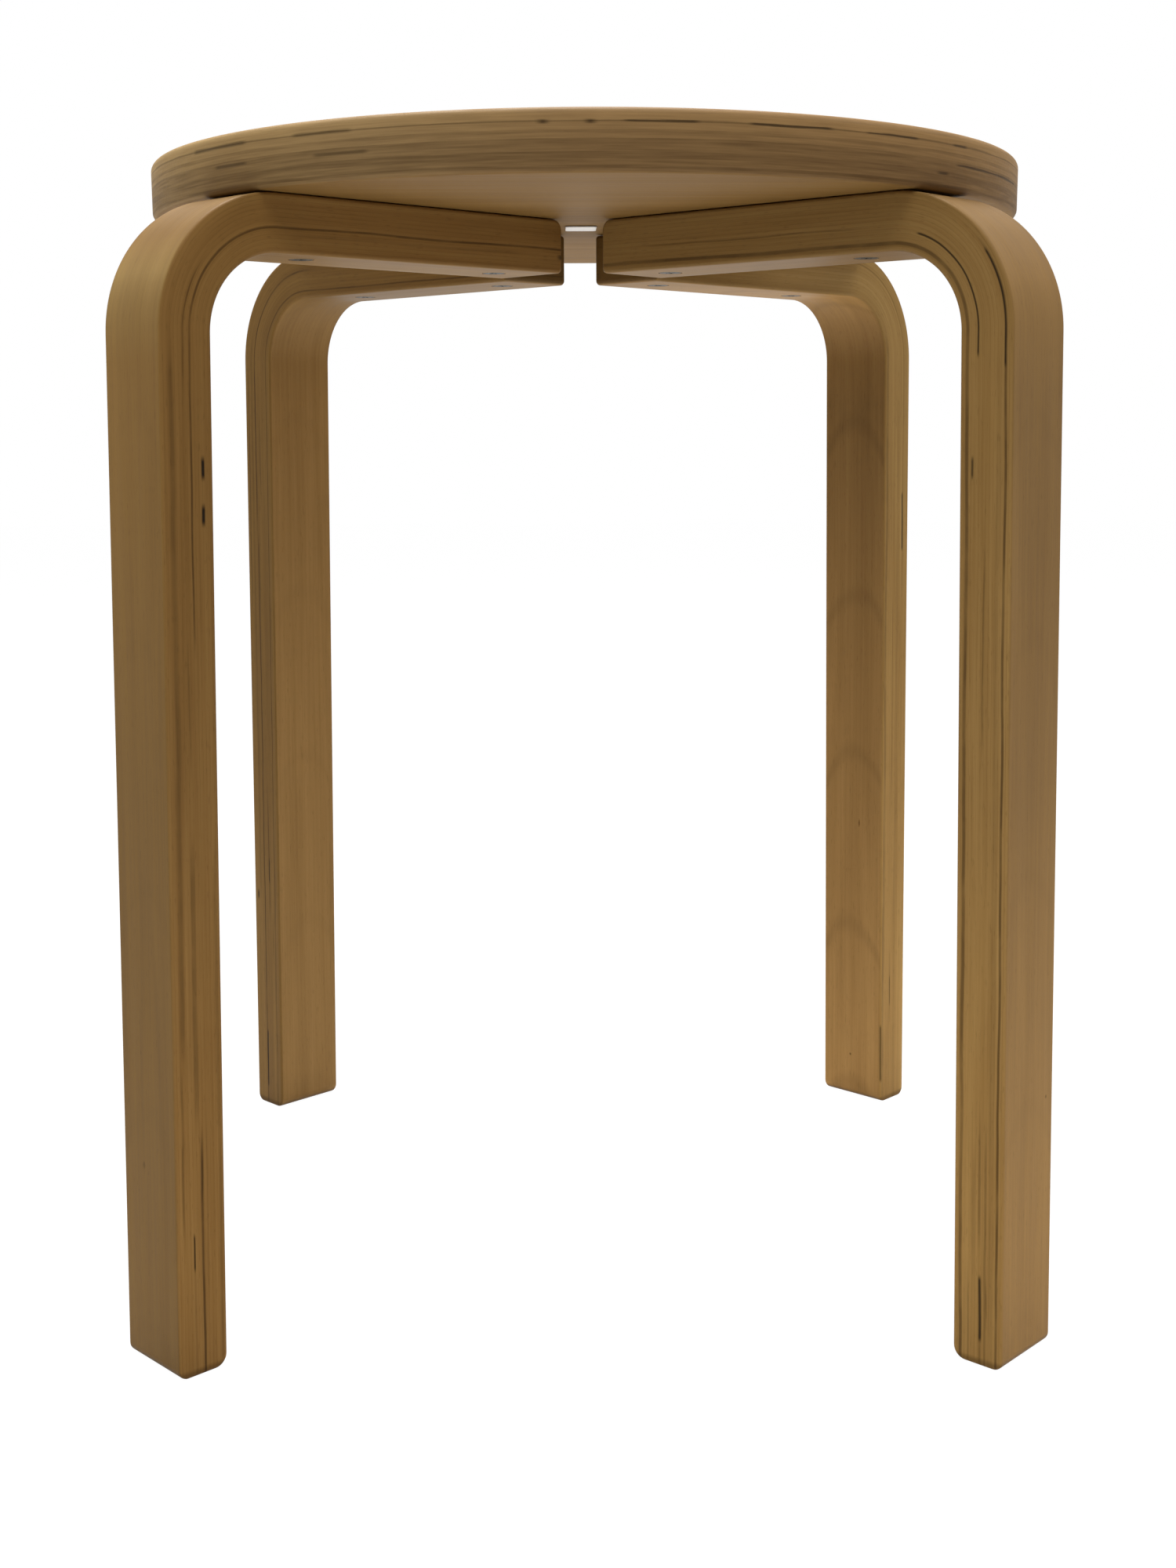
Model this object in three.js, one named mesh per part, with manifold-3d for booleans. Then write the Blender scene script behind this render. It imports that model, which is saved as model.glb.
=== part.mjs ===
// Bentwood stacking stool: a round ply seat screwed down on four laminated L-shaped legs.
// Millimetres, +Z up, front towards -Y, origin on the floor in the middle of the four legs.

import * as THREE from 'three';
import { mergeVertices } from 'three/addons/utils/BufferGeometryUtils.js';
import Module from 'manifold-3d';

const wasm = await Module();
wasm.setup();

// Whole stool
const totalHeight = 450;
const seatingGap = 0.3; // air left between pieces that rest on each other
const cutOverrun = 1; // how far a cutter reaches past the face it opens

// Seat
const seatDiameter = 351;
const seatThickness = 20.9;
const seatSetover = 1.65; // the seat is screwed down a little to the right of the legs' middle
const seatTopRound = 3;
const seatBottomRound = 2.5;

// Leg: upright, bend and arm are one lamination
const legWidth = 35.8;
const legThickness = 20.8;
const footReach = 224.9; // middle of the stool to the outer face of a leg, at the floor
const legLeanDegrees = 1.43; // the upright leans out towards the floor
const bendOuterRadius = 50.3;
const armEndReach = 27.5; // middle of the stool to the square-cut end of an arm
const legEdgeRound = 1.2; // eased long edges
const soleOuterRound = 4;
const soleInnerRound = 5;
const frontArmEndRound = 4; // top corner of a front arm's end
const backArmEndRound = 1.5; // the same on a back arm, left nearly square
const armEndBottomRound = 2;

// Each leg stands near a diagonal of the seat; the settings are read from the photographed stool
const legSettings = [
  { name: 'front_left', diagonalDegrees: 225, settingDegrees: -1.9, endRound: frontArmEndRound },
  { name: 'front_right', diagonalDegrees: 315, settingDegrees: 1.95, endRound: frontArmEndRound },
  { name: 'back_right', diagonalDegrees: 45, settingDegrees: 0.58, endRound: backArmEndRound },
  { name: 'back_left', diagonalDegrees: 135, settingDegrees: -0.63, endRound: backArmEndRound },
];

// Countersunk wood screws, two through each arm
const innerScrewInset = 21; // from the end of the arm
const outerScrewInset = 22.4; // from the start of the bend
const screwLength = 35;
const screwHeadDiameter = 9;
const screwHeadRim = 0.5; // straight edge of the head before its cone
const screwDiameter = 4.5;
const screwRootDiameter = 3.2; // across the bottom of the thread
const screwSmoothLength = 15; // head face to the first thread
const screwThreadPitch = 2.2;
const screwTipLength = 4;
const recessLength = 5.2; // cross recess, tip to tip
const recessWidth = 1.2;
const recessDepth = 1.9;

// Plastic plug under the seat, in the middle of the four legs: a thin oblong plate on a stem
const plugHeadLength = 12.8;
const plugHeadWidth = 16;
const plugHeadThickness = 0.4;
const plugHeadCorner = 1.5;
const plugStemDiameter = 7.4;
const plugStemLength = 7;

// Facets
const seatSegments = 96;
const bendSteps = 18;
const cornerSteps = 4;
const edgeSteps = 2;
const screwSegments = 12;
const plugSegments = 32;

// Heights and reaches that follow
const seatUnderside = totalHeight - seatThickness;
const armTop = seatUnderside - seatingGap;
const armUnderside = armTop - legThickness;
const legLean = degrees(legLeanDegrees);
const bendHeight = armTop - bendOuterRadius;
const bendReach = footReach - (bendOuterRadius + bendHeight * Math.sin(legLean)) / Math.cos(legLean);
const screwPlaces = [
  { name: 'inner', reach: armEndReach + innerScrewInset },
  { name: 'outer', reach: bendReach - outerScrewInset },
];

const birchPly = new THREE.MeshStandardMaterial({ color: '#c9a877', roughness: 0.5, metalness: 0 });
const bentBirch = new THREE.MeshStandardMaterial({ color: '#c49f68', roughness: 0.45, metalness: 0 });
const zincSteel = new THREE.MeshStandardMaterial({ color: '#8d8c88', roughness: 0.35, metalness: 1 });
const whitePlastic = new THREE.MeshStandardMaterial({ color: '#ece8e0', roughness: 0.3, metalness: 0 });

function degrees(angle) {
  return THREE.MathUtils.degToRad(angle);
}

// Points of an arc in a plane outline, both ends included
function arcPoints(centreX, centreY, radius, startDegrees, endDegrees, steps) {
  const points = [];
  for (let i = 0; i <= steps; i += 1) {
    const angle = degrees(startDegrees + ((endDegrees - startDegrees) * i) / steps);
    points.push(new THREE.Vector2(
      centreX + radius * Math.cos(angle),
      centreY + radius * Math.sin(angle),
    ));
  }
  return points;
}

// Rounds the corner between two straight edges that meet at corner
function roundedCorner(before, corner, after, radius, steps) {
  const toBefore = before.clone().sub(corner).normalize();
  const toAfter = after.clone().sub(corner).normalize();
  const halfAngle = Math.acos(toBefore.dot(toAfter)) / 2;
  const middle = toBefore.clone().add(toAfter).normalize();
  const centre = corner.clone().addScaledVector(middle, radius / Math.sin(halfAngle));
  const first = corner.clone().addScaledVector(toBefore, radius / Math.tan(halfAngle)).sub(centre);
  const last = corner.clone().addScaledVector(toAfter, radius / Math.tan(halfAngle)).sub(centre);
  let sweep = last.angle() - first.angle();
  if (sweep > Math.PI) sweep -= 2 * Math.PI;
  if (sweep < -Math.PI) sweep += 2 * Math.PI;
  const points = [];
  for (let i = 0; i <= steps; i += 1) {
    points.push(first.clone().rotateAround(new THREE.Vector2(), (sweep * i) / steps).add(centre));
  }
  return points;
}

// A turned body about the Z axis; the profile runs upwards from the axis and back to it
function turned(profile, segments) {
  const points = profile.map(([radius, height]) => new THREE.Vector2(radius, height));
  return new THREE.LatheGeometry(points, segments).rotateX(degrees(90));
}

function toSolid(geometry) {
  const bare = geometry.clone();
  bare.deleteAttribute('normal');
  bare.deleteAttribute('uv');
  const merged = mergeVertices(bare);
  const corners = merged.index.array;
  const triangles = [];
  for (let i = 0; i < corners.length; i += 3) {
    const [a, b, c] = [corners[i], corners[i + 1], corners[i + 2]];
    if (a !== b && b !== c && c !== a) triangles.push(a, b, c);
  }
  return new wasm.Manifold(new wasm.Mesh({
    numProp: 3,
    vertProperties: new Float32Array(merged.attributes.position.array),
    triVerts: new Uint32Array(triangles),
  }));
}

function toGeometry(solid) {
  const mesh = solid.getMesh();
  const geometry = new THREE.BufferGeometry();
  geometry.setAttribute('position', new THREE.BufferAttribute(mesh.vertProperties, mesh.numProp));
  geometry.setIndex(new THREE.BufferAttribute(mesh.triVerts, 1));
  geometry.computeVertexNormals();
  return geometry;
}

function cutAway(geometry, cutters) {
  let solid = toSolid(geometry);
  for (const cutter of cutters) solid = solid.subtract(toSolid(cutter));
  return toGeometry(solid);
}

// Seat: a disc with rounded edges, its pilot holes and the hole for the plug
function seatGeometry() {
  const radius = seatDiameter / 2;
  const bottomRound = arcPoints(
    radius - seatBottomRound, seatUnderside + seatBottomRound, seatBottomRound, -90, 0, cornerSteps,
  );
  const topRound = arcPoints(
    radius - seatTopRound, totalHeight - seatTopRound, seatTopRound, 0, 90, cornerSteps,
  );
  const profile = [
    [0, seatUnderside],
    ...bottomRound.map((point) => [point.x, point.y]),
    ...topRound.map((point) => [point.x, point.y]),
    [0, totalHeight],
  ];

  const pilotRadius = screwDiameter / 2 + seatingGap;
  const pilotTop = armUnderside + screwLength + seatingGap;
  const cutters = [];
  for (const leg of legSettings) {
    for (const place of screwPlaces) {
      const angle = degrees(leg.diagonalDegrees + leg.settingDegrees);
      const pilot = turned([
        [0, seatUnderside - cutOverrun],
        [pilotRadius, seatUnderside - cutOverrun],
        [pilotRadius, pilotTop - pilotRadius / 2],
        [0, pilotTop],
      ], screwSegments);
      const pilotX = place.reach * Math.cos(angle) - seatSetover;
      cutters.push(pilot.translate(pilotX, place.reach * Math.sin(angle), 0));
    }
  }
  const plugHoleRadius = plugStemDiameter / 2 + seatingGap;
  const plugHoleTop = seatUnderside + plugStemLength;
  cutters.push(turned([
    [0, seatUnderside - cutOverrun],
    [plugHoleRadius, seatUnderside - cutOverrun],
    [plugHoleRadius, plugHoleTop],
    [0, plugHoleTop],
  ], plugSegments).translate(-seatSetover, 0, 0));
  return cutAway(turned(profile, seatSegments), cutters);
}

// Leg outline in its own upright plane: X runs out from the middle of the stool, Y is height
function legOutline(armEndTopRound) {
  const bendInnerRadius = bendOuterRadius - legThickness;
  const soleInnerReach = footReach - legThickness / Math.cos(legLean);

  const outerBend = arcPoints(bendReach, bendHeight, bendOuterRadius, legLeanDegrees, 90, bendSteps);
  const innerBend = arcPoints(bendReach, bendHeight, bendInnerRadius, 90, legLeanDegrees, bendSteps);
  const soleOuter = new THREE.Vector2(footReach, 0);
  const soleInner = new THREE.Vector2(soleInnerReach, 0);
  const armEndTop = new THREE.Vector2(armEndReach, armTop);
  const armEndBottom = new THREE.Vector2(armEndReach, armUnderside);

  return [
    ...roundedCorner(soleInner, soleOuter, outerBend[0], soleOuterRound, cornerSteps),
    ...outerBend,
    ...roundedCorner(outerBend[bendSteps], armEndTop, armEndBottom, armEndTopRound, cornerSteps),
    ...roundedCorner(armEndTop, armEndBottom, innerBend[0], armEndBottomRound, cornerSteps),
    ...innerBend,
    ...roundedCorner(innerBend[bendSteps], soleInner, soleOuter, soleInnerRound, cornerSteps),
  ];
}

// Countersunk hole through an arm, clear of the screw all round
function screwClearance(reach) {
  const headRadius = screwHeadDiameter / 2 + seatingGap;
  const shankRadius = screwDiameter / 2 + seatingGap;
  const coneTop = armUnderside + screwHeadRim + headRadius - shankRadius;
  return turned([
    [0, armUnderside - cutOverrun],
    [headRadius, armUnderside - cutOverrun],
    [headRadius, armUnderside + screwHeadRim],
    [shankRadius, coneTop],
    [shankRadius, armTop + cutOverrun],
    [0, armTop + cutOverrun],
  ], screwSegments).translate(reach, 0, 0);
}

function legGeometry(armEndTopRound) {
  const outline = new THREE.Shape(legOutline(armEndTopRound));
  const bar = new THREE.ExtrudeGeometry(outline, {
    depth: legWidth - 2 * legEdgeRound,
    bevelEnabled: true,
    bevelThickness: legEdgeRound,
    bevelSize: legEdgeRound,
    bevelOffset: -legEdgeRound,
    bevelSegments: edgeSteps,
  });
  bar.translate(0, 0, legEdgeRound - legWidth / 2);
  bar.rotateX(degrees(90));
  return cutAway(bar, screwPlaces.map((place) => screwClearance(place.reach)));
}

// Screw standing on its head face at Z = 0, point upwards
function screwGeometry() {
  const headRadius = screwHeadDiameter / 2;
  const shankRadius = screwDiameter / 2;
  const rootRadius = screwRootDiameter / 2;
  const threadTop = screwLength - screwTipLength;
  const turns = Math.floor((threadTop - screwSmoothLength) / screwThreadPitch);
  const profile = [
    [0, 0],
    [headRadius, 0],
    [headRadius, screwHeadRim],
    [shankRadius, screwHeadRim + headRadius - shankRadius],
    [shankRadius, screwSmoothLength],
  ];
  for (let turn = 0; turn < turns; turn += 1) {
    const height = screwSmoothLength + turn * screwThreadPitch;
    profile.push([rootRadius, height + screwThreadPitch / 2]);
    profile.push([shankRadius, height + screwThreadPitch]);
  }
  profile.push([rootRadius, threadTop + screwThreadPitch / 2]);
  profile.push([0, screwLength]);

  const slotHeight = recessDepth + cutOverrun;
  const slotMiddle = (recessDepth - cutOverrun) / 2;
  const slots = [
    new THREE.BoxGeometry(recessLength, recessWidth, slotHeight).translate(0, 0, slotMiddle),
    new THREE.BoxGeometry(recessWidth, recessLength, slotHeight).translate(0, 0, slotMiddle),
  ];
  return cutAway(turned(profile, screwSegments), slots);
}

// Plug: the plate lies against the seat and the stem stands up into it
function plugGeometry() {
  const corners = [[-1, -1], [1, -1], [1, 1], [-1, 1]].map(([x, y]) => new THREE.Vector2(
    (x * plugHeadLength) / 2,
    (y * plugHeadWidth) / 2,
  ));
  const outline = corners.flatMap((corner, i) => {
    const before = corners[(i + corners.length - 1) % corners.length];
    const after = corners[(i + 1) % corners.length];
    return roundedCorner(before, corner, after, plugHeadCorner, cornerSteps);
  });
  const plate = new THREE.ExtrudeGeometry(new THREE.Shape(outline), {
    depth: plugHeadThickness,
    bevelEnabled: false,
  });
  const plateTop = seatUnderside - seatingGap;
  plate.translate(0, 0, plateTop - plugHeadThickness);
  const stemRadius = plugStemDiameter / 2;
  const stem = turned([
    [0, plateTop - plugHeadThickness / 2],
    [stemRadius, plateTop - plugHeadThickness / 2],
    [stemRadius, plateTop + plugStemLength],
    [0, plateTop + plugStemLength],
  ], plugSegments);
  return toGeometry(toSolid(plate).add(toSolid(stem)));
}

function namedMesh(name, geometry, material) {
  const mesh = new THREE.Mesh(geometry, material);
  mesh.name = name;
  return mesh;
}

const stool = new THREE.Group();
stool.name = 'stacking_stool';
const top = new THREE.Group();
top.position.x = seatSetover;
top.add(namedMesh('seat', seatGeometry(), birchPly));
stool.add(top);
stool.add(namedMesh('centre_plug', plugGeometry(), whitePlastic));

for (const leg of legSettings) {
  const quarter = new THREE.Group();
  quarter.rotation.z = degrees(leg.diagonalDegrees + leg.settingDegrees);
  const bar = legGeometry(leg.endRound);
  quarter.add(namedMesh(`leg_${leg.name}`, bar, bentBirch.clone()));
  for (const place of screwPlaces) {
    const screw = namedMesh(`screw_${leg.name}_${place.name}`, screwGeometry(), zincSteel.clone());
    screw.position.set(place.reach, 0, armUnderside);
    quarter.add(screw);
  }
  stool.add(quarter);
}

export default stool;
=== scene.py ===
import math

import bmesh
import bpy
from mathutils import Matrix, Vector


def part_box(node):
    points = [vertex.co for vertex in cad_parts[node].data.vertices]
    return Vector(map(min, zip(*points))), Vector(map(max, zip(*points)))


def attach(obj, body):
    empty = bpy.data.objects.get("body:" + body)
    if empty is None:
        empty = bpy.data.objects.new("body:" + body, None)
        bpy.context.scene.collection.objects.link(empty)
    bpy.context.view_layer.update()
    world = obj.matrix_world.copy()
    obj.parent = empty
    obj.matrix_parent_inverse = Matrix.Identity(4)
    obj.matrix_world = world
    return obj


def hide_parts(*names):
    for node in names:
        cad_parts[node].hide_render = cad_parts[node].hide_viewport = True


# Bentwood stacking stool: birch ply seat on four laminated birch legs, dressed over the CAD frame.
# Lengths in the dictionaries are in millimetres, like the drawings; the scene is in metres.

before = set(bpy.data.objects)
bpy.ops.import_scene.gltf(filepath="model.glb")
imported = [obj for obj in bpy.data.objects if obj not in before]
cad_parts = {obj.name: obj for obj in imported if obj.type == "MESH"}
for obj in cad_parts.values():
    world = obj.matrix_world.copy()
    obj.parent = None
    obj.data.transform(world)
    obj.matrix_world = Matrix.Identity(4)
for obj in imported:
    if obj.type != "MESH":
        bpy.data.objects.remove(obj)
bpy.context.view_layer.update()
metresPerMm = 0.001
seatLow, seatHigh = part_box("seat")
plugLow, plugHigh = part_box("centre_plug")

legBar = {
    "width": 35.8,
    "thickness": 20.8,
    "footReach": 224.9,   # stool's middle to the outer face, at the floor
    "leanDegrees": 1.43,
    "bendRadius": 50.3,
    "armEnd": 27.5,
    "armTop": seatLow.z / metresPerMm - 0.3,
    "longEdge": 1.2,
    "soleOuter": 4.0,
    "soleInner": 5.0,
    "armEndUnder": 2.0,
    "bendSteps": 48,
    "innerScrew": 21.0,   # from the arm's end
    "outerScrew": 22.4,   # back from the start of the bend
}
armEndTops = {   # how far each arm's end is rounded on top
    "front_left": 4.0,
    "front_right": 4.0,
    "back_right": 1.5,
    "back_left": 1.5,
}
legTurns = {   # degrees from +X, as each leg was set
    "front_left": 223.1,
    "front_right": 316.95,
    "back_right": 45.58,
    "back_left": 134.37,
}
screwShape = {
    "length": 35.0,
    "headDiameter": 9.0,
    "headRim": 0.5,
    "shank": 4.5,
    "root": 3.2,
    "smooth": 15.0,
    "pitch": 2.2,
    "tip": 4.0,
    "recess": (5.2, 1.2, 1.9),   # tip to tip, width, depth
    "clearance": 0.3,
    "turns": (20, 65, 110, 40, 5, 75, 130, 95),   # degrees, how each cross came to rest
}

# Camera first, at the photograph's view

viewpoint = {
    "place": (-10.693, -843.696, 344.394),
    "yaw": 0.862,
    "pitch": -10.105,
    "roll": -0.239,
    "lens": 45.04,
}


def setCamera(view):
    yaw, pitch, roll = (math.radians(view[key]) for key in ("yaw", "pitch", "roll"))
    ahead = Vector((math.sin(yaw) * math.cos(pitch), math.cos(yaw) * math.cos(pitch), math.sin(pitch)))
    level = Vector((math.cos(yaw), -math.sin(yaw), 0))
    upright = level.cross(ahead)
    right = level * math.cos(roll) + upright * math.sin(roll)
    up = upright * math.cos(roll) - level * math.sin(roll)
    lens = bpy.data.cameras.new("camera")
    lens.lens = view["lens"]
    lens.sensor_width = 36
    lens.clip_start = 0.01
    eye = bpy.data.objects.new("camera", lens)
    place = Matrix((right, up, -ahead)).transposed().to_4x4()
    place.translation = Vector(view["place"]) * metresPerMm
    eye.matrix_world = place
    bpy.context.collection.objects.link(eye)
    bpy.context.scene.camera = eye


setCamera(viewpoint)
print("camera set")


# Node and mesh helpers

def colour(text):
    parts = [int(text[i:i + 2], 16) / 255 for i in (1, 3, 5)]
    linear = [p / 12.92 if p <= 0.04045 else ((p + 0.055) / 1.055) ** 2.4 for p in parts]
    return (*linear, 1)


def addNode(tree, kind, inputs=(), **settings):
    # inputs in socket order, or by name; a node given as an input stands for its first output
    node = tree.nodes.new("ShaderNode" + kind)
    for name, value in settings.items():
        setattr(node, name, value)
    for name, value in inputs.items() if isinstance(inputs, dict) else enumerate(inputs):
        if isinstance(value, bpy.types.Node):
            value = value.outputs[0]
        if isinstance(value, bpy.types.NodeSocket):
            tree.links.new(value, node.inputs[name])
        else:
            node.inputs[name].default_value = value
    return node


def newMaterial(name):
    material = bpy.data.materials.new(name)
    material.use_nodes = True
    tree = material.node_tree
    tree.nodes.clear()
    return material, tree


def finishMaterial(tree, surface):
    addNode(tree, "OutputMaterial", {"Surface": surface})


def millimetres(tree):
    coords = addNode(tree, "TexCoord").outputs["Object"]
    return addNode(tree, "VectorMath", {0: coords, "Scale": 1 / metresPerMm}, operation="SCALE")


def meshPiece(name, shape):
    mesh = bpy.data.meshes.new(name)
    shape.to_mesh(mesh)
    shape.free()
    piece = bpy.data.objects.new(name, mesh)
    bpy.context.collection.objects.link(piece)
    return piece


def cutAway(piece, cutterShape):
    cutter = meshPiece("cutter", cutterShape)
    change = piece.modifiers.new("cut", "BOOLEAN")
    change.operation = "DIFFERENCE"
    change.solver = "EXACT"
    change.object = cutter
    bpy.context.view_layer.update()
    result = piece.evaluated_get(bpy.context.evaluated_depsgraph_get())
    cut = bpy.data.meshes.new_from_object(result)
    piece.modifiers.clear()
    piece.data = cut
    bpy.data.objects.remove(cutter)


def dress(piece, material, node):
    piece.data.materials.clear()
    piece.data.materials.append(material)
    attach(piece, "root")
    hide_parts(node)


def shade(mesh, isFlat, sharpDegrees=32):
    mesh.set_sharp_from_angle(angle=math.radians(sharpDegrees))
    for face in mesh.polygons:
        face.use_smooth = not isFlat(face)


def edgesWhere(shape, test):
    return [edge for edge in shape.edges if test(edge)]


def softenEdges(shape, edges, radius, segments):
    bmesh.ops.bevel(
        shape, geom=edges, offset=radius, offset_type="OFFSET", segments=segments,
        profile=0.5, affect="EDGES", material=-1, clamp_overlap=True,
    )


# Legs: one rectangular section carried along the arm, round the bend and down to the floor

lean = math.radians(legBar["leanDegrees"])
bendHeight = legBar["armTop"] - legBar["bendRadius"]
bendReach = legBar["footReach"] - (legBar["bendRadius"] + bendHeight * math.sin(lean)) / math.cos(lean)
armUnderside = legBar["armTop"] - legBar["thickness"]
armLength = bendReach - legBar["armEnd"]
bendLength = legBar["bendRadius"] * (math.pi / 2 - lean)
screwReaches = (legBar["armEnd"] + legBar["innerScrew"], bendReach - legBar["outerScrew"])


def turnedShape(profile, steps):
    # profile of (radius, height) pairs, spun about the upright axis
    shape = bmesh.new()
    points = [shape.verts.new((radius, 0, height)) for radius, height in profile]
    lines = [shape.edges.new(pair) for pair in zip(points, points[1:])]
    bmesh.ops.spin(
        shape, geom=points + lines, cent=(0, 0, 0), axis=(0, 0, 1), dvec=(0, 0, 0),
        angle=2 * math.pi, steps=steps, use_merge=True, use_duplicate=False,
    )
    bmesh.ops.remove_doubles(shape, verts=shape.verts, dist=0.0001)
    bmesh.ops.recalc_face_normals(shape, faces=shape.faces)
    return shape


def barShape(bar, endRound):
    shape = bmesh.new()
    half = bar["width"] / 2
    corners = [
        (bar["armEnd"], -half, armUnderside),
        (bar["armEnd"], -half, bar["armTop"]),
        (bar["armEnd"], half, bar["armTop"]),
        (bar["armEnd"], half, armUnderside),
    ]
    section = shape.faces.new([shape.verts.new(corner) for corner in corners])
    arm = bmesh.ops.extrude_face_region(shape, geom=[section])["geom"]
    bmesh.ops.translate(
        shape, verts=[g for g in arm if isinstance(g, bmesh.types.BMVert)], vec=(armLength, 0, 0),
    )
    bend = bmesh.ops.spin(
        shape, geom=arm, cent=(bendReach, 0, bendHeight), axis=(0, 1, 0), dvec=(0, 0, 0),
        angle=math.pi / 2 - lean, steps=bar["bendSteps"], use_duplicate=False,
    )["geom_last"]
    foot = bmesh.ops.extrude_face_region(shape, geom=bend)["geom"]
    for vert in foot:
        if isinstance(vert, bmesh.types.BMVert):
            # slide down the leaning line to the floor
            vert.co += Vector((math.tan(lean), 0, -1)) * vert.co.z
    bmesh.ops.recalc_face_normals(shape, faces=shape.faces)

    def crosswise(edge, test):
        a, b = (v.co for v in edge.verts)
        return abs(a.x - b.x) < 0.01 and abs(a.z - b.z) < 0.01 and test(a)

    endTop = edgesWhere(shape, lambda e: crosswise(
        e, lambda p: p.x < bar["armEnd"] + 0.01 and p.z > bar["armTop"] - 0.01,
    ))
    softenEdges(shape, endTop, endRound, 10)
    endUnder = edgesWhere(shape, lambda e: crosswise(
        e, lambda p: p.x < bar["armEnd"] + 0.01 and p.z < armUnderside + 0.01,
    ))
    softenEdges(shape, endUnder, bar["armEndUnder"], 6)
    middle = bar["footReach"] - bar["thickness"] / 2
    outerSole = edgesWhere(shape, lambda e: crosswise(e, lambda p: abs(p.z) < 0.01 and p.x > middle))
    softenEdges(shape, outerSole, bar["soleOuter"], 8)
    innerSole = edgesWhere(shape, lambda e: crosswise(e, lambda p: abs(p.z) < 0.01 and p.x < middle - 5))
    softenEdges(shape, innerSole, bar["soleInner"], 8)

    def borders(edge):
        sides = [abs(face.normal.y) > 0.9 for face in edge.link_faces]
        return len(sides) == 2 and sides[0] != sides[1]

    shape.normal_update()
    softenEdges(shape, edgesWhere(shape, borders), bar["longEdge"], 4)
    for side in (-1, 1):
        # a loop just inside each long edge keeps the bend's broad faces level across
        bmesh.ops.bisect_plane(
            shape, geom=[*shape.verts, *shape.edges, *shape.faces], dist=0.0001,
            plane_co=(0, side * (half - bar["longEdge"] - 0.6), 0), plane_no=(0, 1, 0),
        )
    return shape


def countersinkShape(bar, screw):
    shape = bmesh.new()
    head = screw["headDiameter"] / 2 + screw["clearance"]
    shank = screw["shank"] / 2 + screw["clearance"]
    cone = armUnderside + screw["headRim"]
    profile = [
        (0, armUnderside - 2), (head, armUnderside - 2), (head, cone), (shank, cone + head - shank),
        (shank, bar["armTop"] + 2), (0, bar["armTop"] + 2),
    ]
    for reach in screwReaches:
        hole = turnedShape(profile, 32)
        bmesh.ops.translate(hole, verts=hole.verts, vec=(reach, 0, 0))
        joined = bpy.data.meshes.new("hole")
        hole.to_mesh(joined)
        hole.free()
        shape.from_mesh(joined)
        bpy.data.meshes.remove(joined)
    bmesh.ops.scale(shape, verts=shape.verts, vec=(metresPerMm,) * 3)
    return shape


def unrolled(reach, height):
    # the bar laid out straight again: distance along it and depth below its outer face
    outward = reach - bendReach
    above = height - bendHeight
    angle = math.atan2(outward, above)
    if outward <= 0 and above > 0:
        return reach - legBar["armEnd"], legBar["armTop"] - height
    if 0 < angle < math.pi / 2 - lean:
        depth = legBar["bendRadius"] - math.hypot(outward, above)
        return armLength + legBar["bendRadius"] * angle, depth
    down = outward * math.sin(lean) - above * math.cos(lean)
    depth = legBar["bendRadius"] - outward * math.cos(lean) - above * math.sin(lean)
    return armLength + bendLength + down, depth


barLength = unrolled(legBar["footReach"], 0)[0]


def layGrain(mesh):
    # along, across and depth in millimetres, so veneers and glue lines follow the bend
    grain = mesh.attributes.new("laminate", "FLOAT_VECTOR", "POINT")
    for vert, value in zip(mesh.vertices, grain.data):
        along, depth = unrolled(vert.co.x / metresPerMm, vert.co.z / metresPerMm)
        value.vector = (along, vert.co.y / metresPerMm, depth)


def makeLeg(name, turn, endRound):
    shape = barShape(legBar, endRound)
    bmesh.ops.scale(shape, verts=shape.verts, vec=(metresPerMm,) * 3)
    piece = meshPiece(name, shape)
    cutAway(piece, countersinkShape(legBar, screwShape))
    layGrain(piece.data)
    large = 2e-4   # square metres
    shade(piece.data, lambda face: face.area > large or abs(face.normal.y) > 0.999)
    piece.data.transform(Matrix.Rotation(math.radians(turn), 4, "Z"))
    return piece


# Wood

# Rotary-cut birch veneers, heat-bent and glued in a press, with a clear satin lacquer:
# a quiet golden tan with long soft streaks, and brown glue lines along the sawn sides.
bentBirch = {
    "pale": "#987544",
    "deep": "#876639",
    "sidePale": "#a07b44",
    "sideDeep": "#896533",
    "endGrain": "#684c25",
    "glue": "#2c1805",
    "gap": "#060301",
    "ply": 1.49,          # mm, one veneer
    "figure": (220, 12),  # mm, broad streaks along and across
    "fibre": (70, 1.3),   # mm, fine streaks
    "pore": (5.0, 0.55),  # mm, drawn about five times coarser than real so that they show
    "drift": (90, 40),    # mm, slow waviness of the veneers
    "wander": (60, 30),   # mm, how a glue line strays
    "patch": (22, 8),     # mm, where a glue line is stronger or fainter
    "lineFade": 10,       # mm, how a glue line runs out at its ends
    "gapFade": 1.5,       # mm, the same for an open joint
    "armEndGrain": (0.3, 1.0),    # mm from the arm's end: fully end grain, and none
    "soleEndGrain": (2.06, 3.76),   # the same from the sole, along the outer face
    "roughness": 0.5,
    "gloss": 0.1,
    "bump": 0.1,
}
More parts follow.
